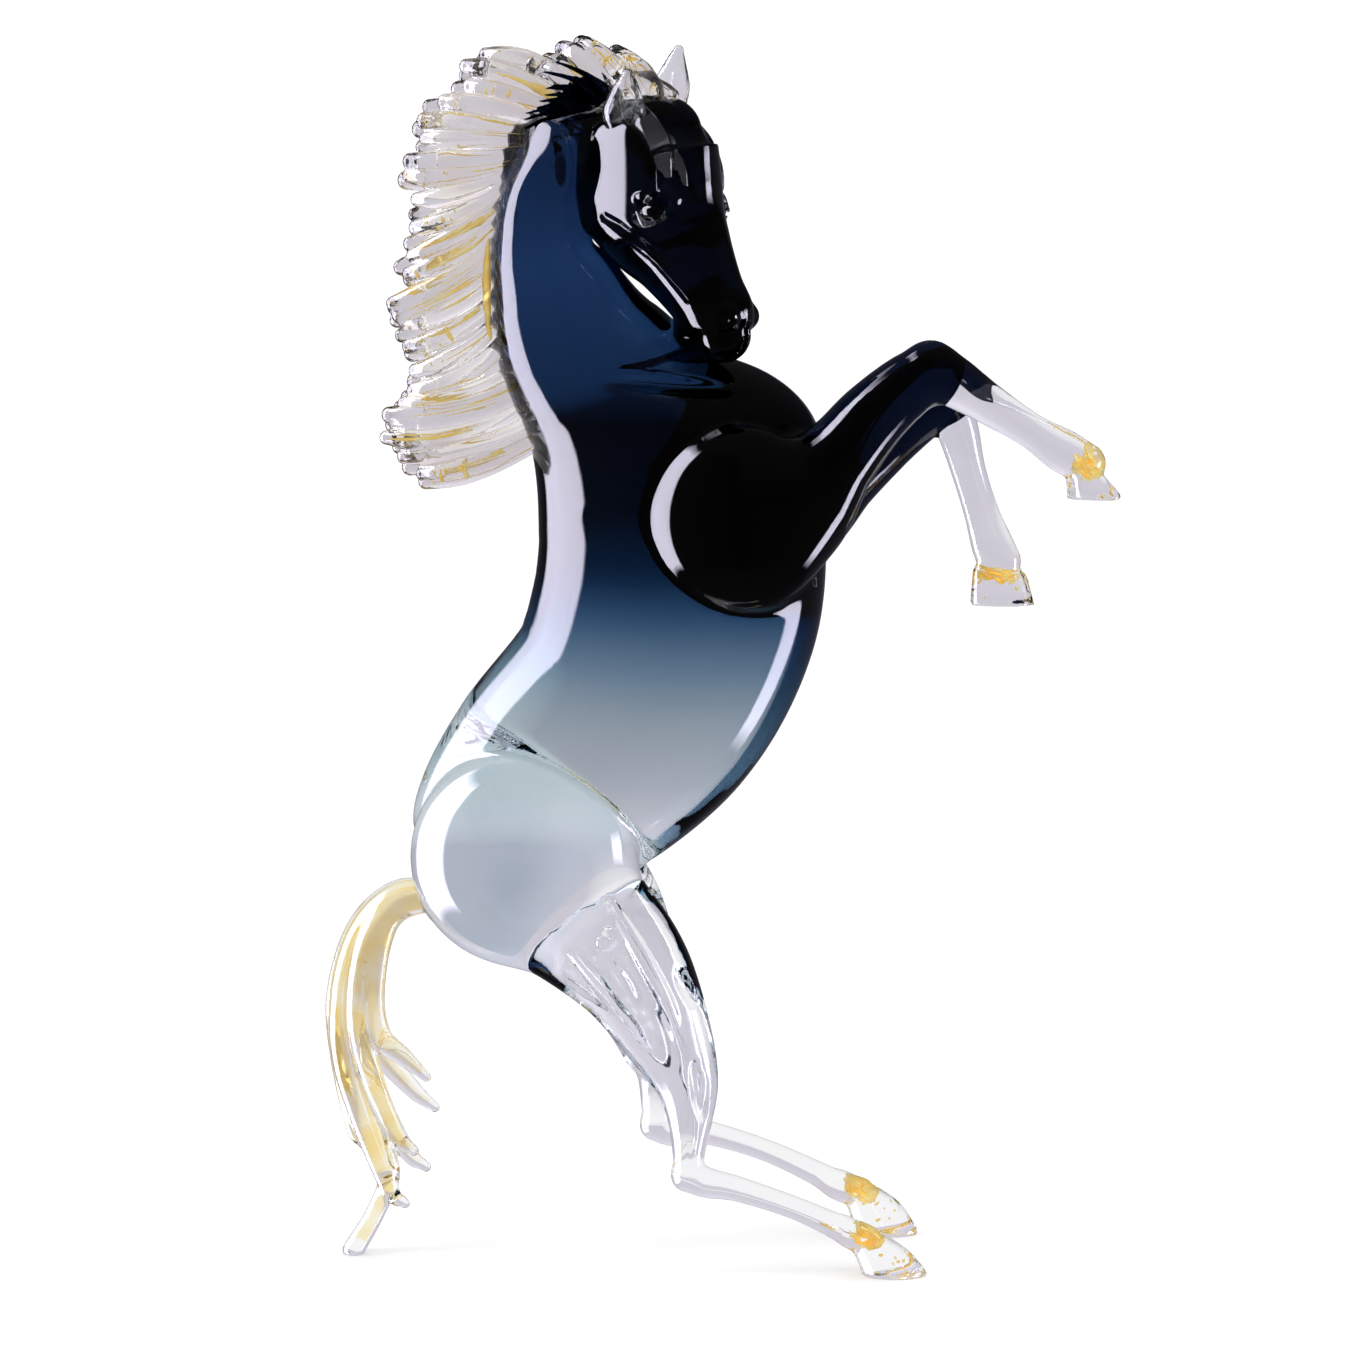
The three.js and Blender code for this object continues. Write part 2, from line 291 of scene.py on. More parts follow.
def hind_leg(side):
    foot = -HIND_SPREAD
    back, up = (0, 0) if side == NEAR else (26, 10)
    thigh = Limb([
        [-160, -48, 318, 72, 54],
        [-114, -56, 280, 58, 48],
        [-76 - back * 0.5, -62, 240, 48, 42],
        [-48 - back * 0.8, -68, 190, 36, 33],
        [-33 - back, -73, 154, 26, 25],
        [-30 - back, -78, 124 + up, 18, 19],
        [-31 - back, foot + 3, 98 + up, 13, 16],
        [-31 - back, foot, 82 + up, 12, 15],
    ], side, 10)
    cannon = Limb([
        [-32 - back, foot, 80 + up, 13, 15],
        [-16 - back, foot, 74 + up, 12, 14],
        [8 - back, foot, 69 + up * 1.5, 10, 12],
        [50 - back * 0.8, foot, 55 + up * 1.5, 9, 11],
        [82 - back * 0.4, foot, 41 + up, 10, 12],
        [98 - back * 0.2, foot, 33 + up * 0.6, 12, 14],
        [110, foot, 28 + up * 0.6, 12, 14],
    ], side, 4)
    hoof = Hoof([133, side * HIND_SPREAD, 0], [114, side * HIND_SPREAD, 36 + up * 0.6], 28)
    dents = [
        Ball([-53 - back * 0.7, side * 106, 190], [13, 12, 34], 3, 25),
        Ball([-32 - back * 0.7, side * 92, 232], [7, 10, 18], 2, 28),
        Ball([-84 - back * 0.5, side * 110, 236], [10, 12, 32], 3, 32),
        Ball([-62 - back * 0.6, side * 104, 156], [8, 12, 28], 3, 30),
        Ball([-24 - back * 0.8, side * 98, 150], [6, 10, 26], 2, 8),
    ]
    folds = [
        Limb([
            [-92, -96, 298, 5, 6],
            [-68, -101, 258, 7, 8],
            [-47, -98, 216, 6, 7],
            [-38, -92, 182, 3, 4],
        ], side, 3),
        Limb([
            [-130, -94, 270, 4, 5],
            [-106, -101, 242, 6, 8],
            [-80, -101, 208, 6, 7],
            [-56, -93, 176, 3, 4],
        ], side, 3),
        Ball([-96, side * 100, 270], [11, 9, 9], 2, 30),
    ]
    haunch = Ball([-162, side * 46, 330], [90, 60, 88], 3)
    return [haunch, thigh, cannon, hoof] + folds + [hollow(d) for d in dents]


def near_foreleg():
    forearm = Limb([
        [10, -52, 590, 66, 48],
        [52, -58, 612, 50, 42],
        [86, -60, 648, 33, 33],
        [113, -62, 680, 28, 28],
        [140, -62, 704, 25, 25],
        [160, -62, 714, 24, 24],
    ], blend=12)
    cannon = Limb([
        [158, -62, 717, 23, 24],
        [178, -62, 707, 20, 21],
        [206, -64, 689, 16, 16],
        [238, -66, 669, 14, 15],
        [262, -68, 654, 17, 17],
        [280, -68, 644, 16, 17],
    ], blend=4)
    return [forearm, cannon, Hoof([292, -68, 616], [285, -68, 645], 48)]


def far_foreleg():
    forearm = Limb([
        [8, 52, 590, 66, 48],
        [58, 58, 606, 50, 42],
        [95, 60, 630, 33, 33],
        [126, 62, 656, 28, 28],
        [155, 62, 677, 24, 25],
        [174, 62, 685, 20, 24],
    ], blend=12)
    cannon = Limb([
        [176, 62, 688, 19, 23],
        [186, 62, 663, 17, 20],
        [195, 62, 630, 14, 16],
        [205, 62, 598, 14, 15],
        [215, 62, 569, 17, 17],
        [221, 62, 556, 17, 17],
    ], blend=4)
    return [forearm, cannon, Hoof([223, 62, 521], [220, 62, 552], 8)]


def head():
    shapes = [Limb([
        [-4, 0, -8, 56, 36],
        [1, 0, -34, 68, 45],
        [19, 0, -70, 57, 44],
        [40, 0, -101, 42, 35],
        [59, 0, -130, 33, 28],
        [71, 0, -150, 31, 26],
        [75, 0, -163, 23, 21],
    ], blend=6)]
    brow = [[8, -40, -52, 5, 6], [30, -42, -44, 7, 7], [50, -34, -56, 5, 5]]
    cheekbone = [[20, -43, -86, 4, 5], [40, -37, -104, 4, 5], [62, -26, -132, 3, 4]]
    upper_lid = [[25, -51, -58, 1.5, 1.5], [36, -57, -53, 3.6, 3.6], [51, -48, -65, 1.5, 1.5]]
    lower_lid = [[26, -51, -62, 1.2, 1.2], [37, -55, -74, 2.6, 2.6], [50, -47, -70, 1.2, 1.2]]
    under_cheek = [[-2, -56, -70, 3, 5], [14, -54, -78, 3, 5], [30, -48, -92, 2, 4]]
    mouth = [[90, 0, -186, 30, 2.4], [64, 0, -158, 30, 2.4], [46, 0, -132, 20, 1.6]]
    for side in (NEAR, FAR):
        shapes.append(Ball([0, side * 43, -42], [46, 11, 50], 3, 0, side * 9))
        shapes.append(Limb(brow, side, 6))
        shapes.append(Limb(cheekbone, side, 5))
        shapes.append(Ball([86, side * 16, -147], [12, 9, 11], 5))
        shapes.append(hollow(Ball([40, side * 52, -64], [17, 8, 11], 4, 35)))
        shapes.append(Ball([39, side * 47, -64], [10, 8, 8], 1))
        shapes.append(Limb(upper_lid, side, 1.5))
        shapes.append(Limb(lower_lid, side, 1.5))
        shapes.append(hollow(Limb(under_cheek, side, 5)))
        shapes.append(hollow(Ball([92, side * 26, -151], [7, 6, 5], 2.5, 40)))
    shapes.append(Ball([51, 0, -160], [19, 19, 17], 5))
    shapes.append(hollow(Limb(mouth, blend=2)))
    return [OnHead(s) for s in shapes]


def chest_fold():
    """The crease where the neck meets the breast, pressed in on both sides."""
    return [hollow(Ball([-36, side * 68, 705], [70, 18, 8], 4, -3)) for side in (NEAR, FAR)]


def torso():
    trunk = Limb([
        [-194, 0, 308, 60, 56],
        [-178, 0, 335, 84, 66],
        [-134, 0, 388, 99, 76],
        [-73, 0, 452, 109, 85],
        [-42, 0, 522, 115, 86],
        [-35, 0, 592, 114, 84],
        [-34, 0, 648, 110, 80],
    ], blend=14)
    neck = Limb([
        [-58, 0, 640, 100, 76],
        [-88, 0, 690, 80, 64],
        [-119, 0, 735, 67, 54],
        [-137, 0, 775, 55, 48],
        [-148, 0, 810, 42, 42],
        [-146, 0, 850, 36, 38],
        [-126, 0, 884, 33, 34],
        [-96, 0, 896, 30, 30],
    ], blend=14)
    flats = [Ball([-150, side * 17, 876], [38, 10, 38], 8, 0, side * 45) for side in (NEAR, FAR)]
    shoulders = [Ball([8, side * 70, 600], [71, 40, 74], 5) for side in (NEAR, FAR)]
    return [trunk, neck] + flats + shoulders


def fill_ramp(ramp, stops):
    """Colours at their places along a colour ramp node."""
    elements = ramp.color_ramp.elements
    elements[0].position = stops[0][0]
    elements[1].position = stops[-1][0]
    for place, _ in stops[1:-1]:
        elements.new(place)
    for element, (_, colour) in zip(elements, stops):
        element.color = (*colour, 1)


class Glass:
    """Node trees for the glass and the gold."""

    def __init__(self, name):
        self.material = bpy.data.materials.new(name)
        self.material.use_nodes = True
        self.tree = self.material.node_tree
        self.shader = self.tree.nodes["Principled BSDF"]

    def node(self, kind, **values):
        node = self.tree.nodes.new(kind)
        for key, value in values.items():
            setattr(node, key, value)
        return node

    def link(self, start, end):
        self.tree.links.new(start, end)

    def set(self, **values):
        for key, value in values.items():
            self.shader.inputs[key.replace("_", " ")].default_value = value

    def place(self):
        return self.node("ShaderNodeTexCoord").outputs["Object"]

    def noise(self, scale, detail=2.0):
        noise = self.node("ShaderNodeTexNoise")
        noise.inputs["Scale"].default_value = scale
        noise.inputs["Detail"].default_value = detail
        self.link(self.place(), noise.inputs["Vector"])
        return noise.outputs["Fac"]

    def ramp(self, source, stops, target):
        ramp = self.node("ShaderNodeValToRGB")
        fill_ramp(ramp, stops)
        self.link(source, ramp.inputs["Fac"])
        self.link(ramp.outputs["Color"], target)

    def bump(self, source, height):
        bump = self.node("ShaderNodeBump")
        bump.inputs["Distance"].default_value = height
        bump.inputs["Strength"].default_value = 1.0
        self.link(source, bump.inputs["Height"])
        self.link(bump.outputs["Normal"], self.shader.inputs["Normal"])


def clear_glass():
    """Water clear, with faint waves where it was worked hot."""
    glass = Glass("clear_glass")
    glass.set(Roughness=0.0, IOR=1.5, Transmission_Weight=1.0)
    stops = [(0.3, (0.985, 0.985, 0.995)), (0.7, (1, 1, 1))]
    glass.ramp(glass.noise(18.0), stops, glass.shader.inputs["Base Color"])
    glass.bump(glass.noise(22.0, 0.0), 0.0003)
    return glass.material


# Height in metres, and the colour of light that has crossed the core
CORE_COLOURS = [
    (0.100, (1.0, 1.0, 1.0)),
    (0.176, (0.93, 0.95, 0.96)),
    (0.201, (0.61, 0.68, 0.70)),
    (0.225, (0.43, 0.53, 0.565)),
    (0.245, (0.186, 0.305, 0.40)),
    (0.265, (0.034, 0.100, 0.20)),
    (0.281, (0.003, 0.018, 0.052)),
    (0.305, (0.0006, 0.003, 0.010)),
    (0.345, (0.0006, 0.0015, 0.005)),
    (0.354, (0.009, 0.032, 0.090)),
    (0.404, (0.016, 0.052, 0.147)),
    (0.440, (0.009, 0.029, 0.09)),
]


def core_glass():
    """The coloured core: near black navy above, through blue and grey to clear at the hips."""
    glass = Glass("blue_glass")
    glass.set(Roughness=0.0, IOR=1.0, Transmission_Weight=1.0)
    climb = glass.node("ShaderNodeSeparateXYZ")
    glass.link(glass.place(), climb.inputs[0])
    drift = glass.node("ShaderNodeMath", operation="MULTIPLY_ADD")
    glass.link(glass.noise(9.0), drift.inputs[0])
    drift.inputs[1].default_value = 0.012
    glass.link(climb.outputs["Z"], drift.inputs[2])
    glass.ramp(drift.outputs[0], CORE_COLOURS, glass.shader.inputs["Base Color"])
    return glass.material


def ink_glass(name, depth):
    """The darkest of the core, in the head, the shoulders and the forelegs; more depth is bluer."""
    glass = Glass(name)
    glass.set(Roughness=0.0, IOR=1.0, Transmission_Weight=1.0)
    stops = [
        (0.3, (0.001 * depth, 0.002 * depth, 0.008 * depth)),
        (0.7, (0.003 * depth, 0.008 * depth, 0.026 * depth)),
    ]
    glass.ramp(glass.noise(14.0), stops, glass.shader.inputs["Base Color"])
    return glass.material


def smoky_glass():
    """The last of the colour in the haunches, in soft clouds."""
    glass = Glass("smoky_glass")
    glass.set(Roughness=0.0, IOR=1.0, Transmission_Weight=1.0)
    stops = [(0.36, (0.72, 0.78, 0.81)), (0.5, (0.92, 0.96, 0.98)), (0.62, (1.0, 1.0, 1.0))]
    glass.ramp(glass.noise(14.0, 1.5), stops, glass.shader.inputs["Base Color"])
    return glass.material


def mane_clear_glass():
    """Clear glass with a warm breath of the gold that is worked into it."""
    glass = Glass("warm_clear_glass")
    glass.set(Roughness=0.0, IOR=1.5, Transmission_Weight=1.0)
    stops = [(0.35, (0.92, 0.89, 0.86)), (0.6, (0.98, 0.97, 0.96)), (0.75, (0.98, 0.94, 0.86))]
    glass.ramp(glass.noise(24.0), stops, glass.shader.inputs["Base Color"])
    glass.bump(glass.noise(60.0, 0.0), 0.0002)
    return glass.material


# The strongest light in the room, by which the colour ramps are scaled, as they stop at 1
BRIGHTEST = 16

# What the glass mirrors: degrees round from the front, negative to the left, and the light there
MIRRORED = [
    (-180, (0.10, 0.10, 0.12)),
    (-128, (0.03, 0.03, 0.04)),
    (-122, (7.0, 6.8, 8.2)),
    (-112, (8.8, 8.5, 10.4)),
    (-100, (11.5, 11.0, 13.5)),
    (-80, (13.0, 12.5, 15.0)),
    (-69, (13.0, 12.5, 15.0)),
    (-67, (0.05, 0.05, 0.06)),
    (0, (0.02, 0.02, 0.025)),
    (80, (0.05, 0.05, 0.06)),
    (83, (12.0, 11.5, 14.2)),
    (98, (10.5, 10.0, 12.2)),
    (101, (0.08, 0.08, 0.10)),
    (150, (0.08, 0.08, 0.10)),
    (180, (0.20, 0.20, 0.23)),
]
# How much of each lamp there is, by height from straight down, -1, to straight up, 1
UNLIT, LIT = (0, 0, 0), (1, 1, 1)
LEFT_LAMP_HEIGHT = [(-1.0, UNLIT), (-0.66, UNLIT), (-0.58, LIT), (0.76, LIT), (0.84, UNLIT), (1.0, UNLIT)]
RIGHT_LAMP_HEIGHT = [(-1.0, UNLIT), (-0.66, UNLIT), (-0.58, LIT), (0.10, LIT), (0.22, UNLIT), (1.0, UNLIT)]
# What the glass bends, in the same terms
BENT = [
    (-180, (0.62, 0.60, 0.67)),
    (-108, (0.62, 0.60, 0.67)),
    (-101, (0.34, 0.34, 0.40)),
    (-91, (0.30, 0.30, 0.36)),
    (-88, (1.3, 1.4, 1.5)),
    (-56, (1.3, 1.4, 1.5)),
    (-50, (0.60, 0.59, 0.66)),
    (0, (0.55, 0.54, 0.60)),
    (50, (0.60, 0.59, 0.66)),
    (56, (1.3, 1.4, 1.5)),
    (88, (1.3, 1.4, 1.5)),
    (91, (0.30, 0.30, 0.36)),
    (101, (0.34, 0.34, 0.40)),
    (108, (0.62, 0.60, 0.67)),
    (180, (0.62, 0.60, 0.67)),
]
BENT_HEIGHT = [
    (-1.0, (1.4, 1.4, 1.4)),
    (-0.5, (1.1, 1.1, 1.1)),
    (0.0, (1, 1, 1)),
    (0.35, (1.1, 1.1, 1.1)),
    (0.7, (1.5, 1.5, 1.5)),
    (1.0, (1.7, 1.7, 1.7)),
]
# The rest of what it mirrors, and the white that is looked at and lights the floor
DARK_ROOM = [(-1, (0.05, 0.05, 0.06)), (0.2, (0.02, 0.02, 0.025)), (1, (0.06, 0.06, 0.065))]
WHITE = (1.15, 1.15, 1.15)


def studio():
    """A camera as the photograph's, a white room, and two tall soft lights."""
    aim = Vector((-0.017 + SHIFT[0], 0.0, 0.231))
    rise = math.radians(6)
    lens = bpy.data.cameras.new("camera")
    lens.sensor_width = 36
    lens.lens = 36 * 2.2 / 0.548
    lens.clip_end = 50
    camera = bpy.data.objects.new("camera", lens)
    camera.location = aim + Vector((0, -math.cos(rise), math.sin(rise))) * 2.2
    camera.rotation_euler = (math.pi / 2 - rise, 0, 0)
    bpy.context.scene.collection.objects.link(camera)
    bpy.context.scene.camera = camera

    floor = bpy.data.meshes.new("floor")
    floor.from_pydata([(-9, -9, 0), (9, -9, 0), (9, 9, 0), (-9, 9, 0)], [], [(0, 1, 2, 3)])
    pale = bpy.data.materials.new("pale_floor")
    pale.use_nodes = True
    pale.node_tree.nodes["Principled BSDF"].inputs["Base Color"].default_value = (0.95, 0.95, 0.95, 1)
    pale.node_tree.nodes["Principled BSDF"].inputs["Roughness"].default_value = 1.0
    pale.node_tree.nodes["Principled BSDF"].inputs["Specular IOR Level"].default_value = 0.0
    floor.materials.append(pale)
    ground = bpy.data.objects.new("floor", floor)
    bpy.context.scene.collection.objects.link(ground)
    ground.visible_glossy = False
    ground.visible_transmission = False

    glow_of_the_floor()
    soft_light("left_light", (-1.15, -0.45, 0.75), (0.0, 0.0, 0.28), 0.6, 1.2, 2)
    soft_light("right_light", (1.3, -0.25, 0.7), (0.0, 0.0, 0.28), 0.4, 1.1, 2)
    world()
    bpy.context.scene.view_settings.view_transform = "Standard"
    cycles = bpy.context.scene.cycles
    cycles.max_bounces = 32
    cycles.transmission_bounces = 32
    cycles.glossy_bounces = 8


def glow_of_the_floor():
    """The bright floor under the horse, as only the glass low down bends it into view."""
    reach, sides = 1.0, 48
    turns = [2 * math.pi * k / sides for k in range(sides)]
    disc = bpy.data.meshes.new("floor_glow")
    rim = [(reach * math.cos(a), reach * math.sin(a), -0.001) for a in turns]
    disc.from_pydata(rim, [], [tuple(range(sides))])
    glow = Glass("floor_glow")
    output = glow.tree.nodes["Material Output"]
    glow.tree.nodes.remove(glow.shader)
    light = glow.node("ShaderNodeEmission")
    far_out = glow.node("ShaderNodeVectorMath", operation="LENGTH")
    glow.link(glow.place(), far_out.inputs[0])
    # Painted light: the disc glows instead of being lit, a painted pool of light that is brightest at the
    # middle and fades to lavender grey outwards
    stops = [(0.25, (0.96, 0.96, 0.97)), (0.6, (0.84, 0.83, 0.87)), (1.0, (0.62, 0.60, 0.67))]
    glow.ramp(far_out.outputs["Value"], stops, light.inputs["Color"])
    glow.link(light.outputs[0], output.inputs["Surface"])
    disc.materials.append(glow.material)
    floor_glow = bpy.data.objects.new("floor_glow", disc)
    bpy.context.scene.collection.objects.link(floor_glow)
    floor_glow.visible_camera = False
    floor_glow.visible_diffuse = False
    floor_glow.visible_glossy = False
    floor_glow.visible_shadow = False


def soft_light(name, place, target, width, height, radiance):
    lamp = bpy.data.lights.new(name, "AREA")
    lamp.shape = "RECTANGLE"
    lamp.size = width
    lamp.size_y = height
    lamp.color = (0.96, 0.93, 1.0)
    lamp.energy = radiance * math.pi * width * height
    light = bpy.data.objects.new(name, lamp)
    light.location = place
    light.rotation_euler = (Vector(target) - Vector(place)).to_track_quat("-Z", "Y").to_euler()
    light.visible_camera = False
    light.visible_glossy = False
    light.visible_transmission = False
    bpy.context.scene.collection.objects.link(light)


def world():
    """White to look at and to light the floor by. What the glass bends and mirrors is a grey room
    with two tall soft lights, which wrap around the left and stand at the right."""
    room = bpy.data.worlds.new("room")
    bpy.context.scene.world = room
    room.use_nodes = True
    tree = room.node_tree
    tree.nodes.clear()
    place = tree.nodes.new("ShaderNodeTexCoord")
    parts = tree.nodes.new("ShaderNodeSeparateXYZ")
    tree.links.new(place.outputs["Generated"], parts.inputs[0])

    def math_node(operation, *sources):
        node = tree.nodes.new("ShaderNodeMath")
        node.operation = operation
        for socket, source in zip(node.inputs, sources):
            if isinstance(source, (int, float)):
                socket.default_value = source
            else:
                tree.links.new(source, socket)
        return node.outputs[0]

    def shade(source, low, high, stops):
        ramp = tree.nodes.new("ShaderNodeValToRGB")
        shares = [((at - low) / (high - low), [v / BRIGHTEST for v in colour]) for at, colour in stops]
        fill_ramp(ramp, shares)
        share = math_node("MULTIPLY_ADD", source, 1 / (high - low), -low / (high - low))
        tree.links.new(share, ramp.inputs["Fac"])
        return ramp.outputs["Color"]

    def mix(kind, factor, first, second):
        node = tree.nodes.new("ShaderNodeMix")
        node.data_type = "RGBA"
        node.blend_type = kind
        if isinstance(factor, (int, float)):
            node.inputs["Factor"].default_value = factor
        else:
            tree.links.new(factor, node.inputs["Factor"])
        tree.links.new(first, node.inputs[6])
        tree.links.new(second, node.inputs[7])
        return node.outputs[2]

    climb = parts.outputs["Z"]
    turn = math_node("ARCTAN2", parts.outputs["X"], math_node("MULTIPLY", parts.outputs["Y"], -1))
    degrees = math_node("MULTIPLY", turn, 180 / math.pi)
    lamps = shade(degrees, -180, 180, MIRRORED)
    on_the_right = math_node("GREATER_THAN", degrees, 0)
    left_reach = shade(climb, -1, 1, LEFT_LAMP_HEIGHT)
    right_reach = shade(climb, -1, 1, RIGHT_LAMP_HEIGHT)
    reach = mix("MIX", on_the_right, left_reach, right_reach)
    reach_value = math_node("MULTIPLY", reach, BRIGHTEST)
    dark = shade(climb, -1, 1, DARK_ROOM)
    mirrored = mix("MIX", reach_value, dark, lamps)
    around = shade(degrees, -180, 180, BENT)
    bent = mix("MULTIPLY", 1.0, around, shade(climb, -1, 1, BENT_HEIGHT))
    scaled = tree.nodes.new("ShaderNodeVectorMath")
    scaled.operation = "SCALE"
    tree.links.new(bent, scaled.inputs[0])
    scaled.inputs["Scale"].default_value = BRIGHTEST
    white = shade(climb, -1, 1, [(-1, WHITE), (1, WHITE)])
    path = tree.nodes.new("ShaderNodeLightPath")
    colour = mix("MIX", path.outputs["Is Transmission Ray"], white, scaled.outputs[0])
    shine = math_node("MULTIPLY", path.outputs["Is Glossy Ray"], path.outputs["Is Reflection Ray"])
    colour = mix("MIX", shine, colour, mirrored)
    backdrop = tree.nodes.new("ShaderNodeBackground")
    backdrop.inputs["Strength"].default_value = BRIGHTEST
    tree.links.new(colour, backdrop.inputs["Color"])
    output = tree.nodes.new("ShaderNodeOutputWorld")
    tree.links.new(backdrop.outputs[0], output.inputs["Surface"])


def casing(p, value):
    """Clear glass over the core, thicker over the hips."""
    low = np.clip((430 - p[:, 2]) / 100, 0, 1)
    return value + 2 + 5 * low


class Beyond:
    """All that lies past a plane."""
    low = np.array([-400.0, -200, -60])
    high = np.array([400.0, 200, 1000])

    def __init__(self, point, normal, blend):
        self.point = np.array(point, float)
        self.normal = np.array(normal, float) / np.linalg.norm(normal)
        self.blend = blend

    def distance(self, p):
        return -((p - self.point) @ self.normal)


# Where locks of the mane leave the crest of the neck, and where their tips are, poll to withers
MANE = np.array([
    [[-48, 0, 920], [-78, 0, 960]],
    [[-70, 0, 926], [-105, 0, 970]],
    [[-92, 0, 928], [-134, 0, 969]],
    [[-110, 0, 924], [-192, 0, 963]],
    [[-134, 0, 914], [-213, 0, 941]],
    [[-150, 0, 904], [-240, 0, 915]],
    [[-164, 0, 890], [-253, 0, 886]],
    [[-172, 0, 874], [-255, 0, 862]],
    [[-178, 0, 856], [-252, 0, 819]],
    [[-181, 0, 834], [-262, 0, 785]],
    [[-183, 0, 808], [-267, 0, 756]],
    [[-184, 0, 778], [-262, 0, 738]],
    [[-182, 0, 744], [-249, 0, 704]],
    [[-177, 0, 706], [-264, 0, 684]],
    [[-170, 0, 692], [-274, 0, 671]],
    [[-162, 0, 668], [-262, 0, 645]],
    [[-156, 0, 650], [-245, 0, 618]],
], float)
LOCKS = 29
SHORT_LOCKS = (1, 4)  # next to the long ones at the top, which so stand out


def mane_line(end, t):
    """A point along the crest, end 0, or along the tips, end 1."""
    return spline(MANE[:, end], np.array([t * (len(MANE) - 1)]))[0][0]


def mane_locks():
    """Ridges of the fan, near and far, each with its path and its width along it."""
    chance = np.random.default_rng(5)
    locks = []
    for side in (NEAR, FAR):
        for i in range(LOCKS):
            t = (i + 0.5 + 0.2 * side + 0.3 * (chance.random() - 0.5)) / LOCKS
            root = mane_line(0, t)
            reach = mane_line(1, t) - root
            reach *= 1.03 - 0.12 * chance.random() - (0.05 if i % 3 == 1 else 0.0)
            reach *= 0.8 if i in SHORT_LOCKS else 1.0
            ease = np.clip((t - 0.2) / 0.3, 0, 1)
            arch = 0.08 - 0.14 * ease**2 * (3 - 2 * ease)
            bow = np.array([reach[2], 0, -reach[0]]) * (arch + 0.05 * (chance.random() - 0.5))
            spread = 13 + 3 * chance.random()
            path = []
            for s, swell in ((-0.22, 0.8), (0.15, 1.0), (0.4, 1.0), (0.65, 0.85), (0.85, 0.62), (1.0, 0.35)):
                point = root + reach * s + bow * 4 * s * (1 - s)
                point[1] = side * spread * swell
                path.append(point)
            tip_width = 5.5 + 2.0 * chance.random()
            locks.append((np.array(path), np.array([6.5, 7.5, 9.0, 9.8, 8.4, tip_width]), side))
    return locks


def mane(locks):
    shapes = []
    for path, widths, _ in locks:
        rows = np.column_stack([path, widths, widths * 0.8 + 2.5])
        rows[-1, 4] = widths[-1] * 0.9
        shapes.append(Limb(rows, NEAR, 2.2))
    return Field(shapes)


def tail_strands():
    """Strands of the tail, each a row of stations. The last runs on down to the third foot."""
    full = 11
    tips = [
        [-242, -10, 146],
        [-236, 8, 118],
        [-252, -12, 86],
        [-243, 4, 70],
        [-274, 12, 62],
        [-260, -6, 42],
        [-294, 6, 88],
    ]
    strands = []
    for i, (x, y, z) in enumerate(tips):
        inner = 17 - 26 * i / (len(tips) - 1)
        fan = y * 1.1
        strands.append([
            [-226, y * 0.4, 292, full * 0.8, full * 0.8],
            [-264, fan * 0.7, 290 - inner * 0.5, full * 0.9, full * 0.9],
            [-290 + inner * 0.6, fan, 262 - inner * 0.3, full, full],
            [-303 + inner, fan, 212, full, full],
            [-300 + inner * 1.2, fan, 160 + (z - 80) * 0.3, full * 0.9, full * 0.9],
            [x - 6 - (x + 300) * 0.2, y, z + 16, full * 0.65, full * 0.65],
            [x, y, z, full * 0.35, full * 0.35],
        ])
    strands.append([
        [-298, 0, 200, full, full],
        [-298, 0, 150, full, full],
        [-286, 0, 105, full * 0.9, full * 0.9],
        [-273, 0, 66, full * 0.8, full * 0.8],
        [-284, 0, 34, full * 0.7, full * 0.8],
        [-302, 0, 3, full * 0.8, full],
    ])
    return [np.array(s, float) for s in strands]


class Under:
    """Everything below the floor, pressed flat."""
    blend = 0.4
    low = np.array([-400.0, -200, -60])
    high = np.array([400.0, 200, 6])

    def distance(self, p):
        return p[:, 2].copy()


def thinned(strands, share):
    cores = []
    for rows in strands:
        core = rows.copy()
        core[:, 3:5] *= share
        core[-1, :3] = rows[-1, :3] * 0.7 + rows[-2, :3] * 0.3
        core[0, :3] = rows[0, :3] * 0.9 + rows[1, :3] * 0.1
        cores.append(Limb(core, NEAR, 1.0))
    return Field(cores)


# Locks that fall from the poll over the forehead: root, tip, bow and half width, on the head
FORELOCK = [
    [[-30, 4, 18], [60, -12, -54], [14, 0, 8], 15],
    [[-24, -12, 16], [46, -36, -36], [15, -10, 10], 13],
    [[-18, 14, 14], [55, 20, -40], [12, 6, 8], 13],
    [[-34, -6, 26], [34, -6, 26], [0, 0, 6], 13],
    [[-26, -4, 18], [56, -26, -44], [16, -8, 9], 9],
    [[-22, 6, 18], [62, 4, -48], [14, 3, 9], 9],
]


def ribbon(path, width, thickness, normal):
    """Points and faces of a thin leaf along a path, pointed at both ends."""
    knots = np.array(path, float)
    t = np.linspace(0, len(knots) - 1, 4 * (len(knots) - 1) + 1)
    centre, slope = spline(knots, t)
    along = slope / np.linalg.norm(slope, axis=1)[:, None]
    over = np.cross(along, normal)
    over /= np.linalg.norm(over, axis=1)[:, None]
    up = np.cross(over, along)
    swell = np.sin(np.linspace(0.25, math.pi - 0.25, len(t)))[:, None]
    left, right = centre - over * width * swell, centre + over * width * swell
    points = np.stack([left, centre + up * thickness, right, centre - up * thickness], axis=1).reshape(-1, 3)
    faces = []
    for i in range(len(t) - 1):
        for j in range(4):
            a, b = 4 * i + j, 4 * i + (j + 1) % 4
            faces.append((a, b, b + 4, a + 4))
    last = 4 * (len(t) - 1)
    faces += [(3, 2, 1, 0), (last, last + 1, last + 2, last + 3)]
    return points, np.array(faces)


